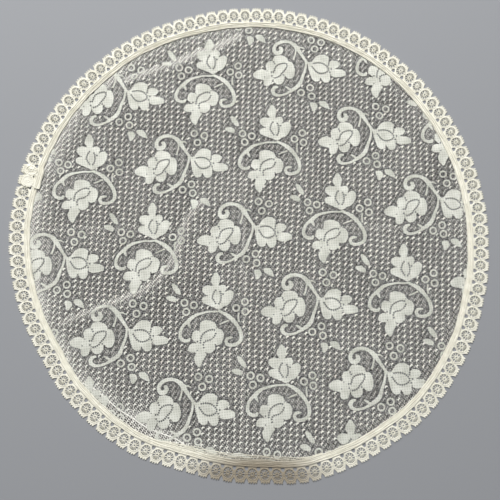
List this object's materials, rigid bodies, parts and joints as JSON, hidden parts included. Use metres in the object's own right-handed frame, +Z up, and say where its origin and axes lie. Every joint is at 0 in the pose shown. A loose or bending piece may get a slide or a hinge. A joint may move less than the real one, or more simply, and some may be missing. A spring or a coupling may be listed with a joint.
{
  "type": "lace doily",
  "caption": "Round flat doily of patterned lace net with roses, buds and scrolls, edged with a scalloped trim of small openwork medallions on a ribbed heading.",
  "frame": {"origin": "under the middle of the doily's outline, on the surface it lies on", "axes": "+Z up out of the cloth, +Y towards the top of the pattern as the tuck at the upper left shows it, +X to its right"},
  "size_m": [0.3596, 0.3593, 0.0036],
  "materials": {
    "net": "matte ivory cotton lace net",
    "trim": "soft cream cotton trim"
  },
  "bodies": {
    "root": {"lace_panel": "net", "lace_edging": "trim"}
  },
  "joints": []
}
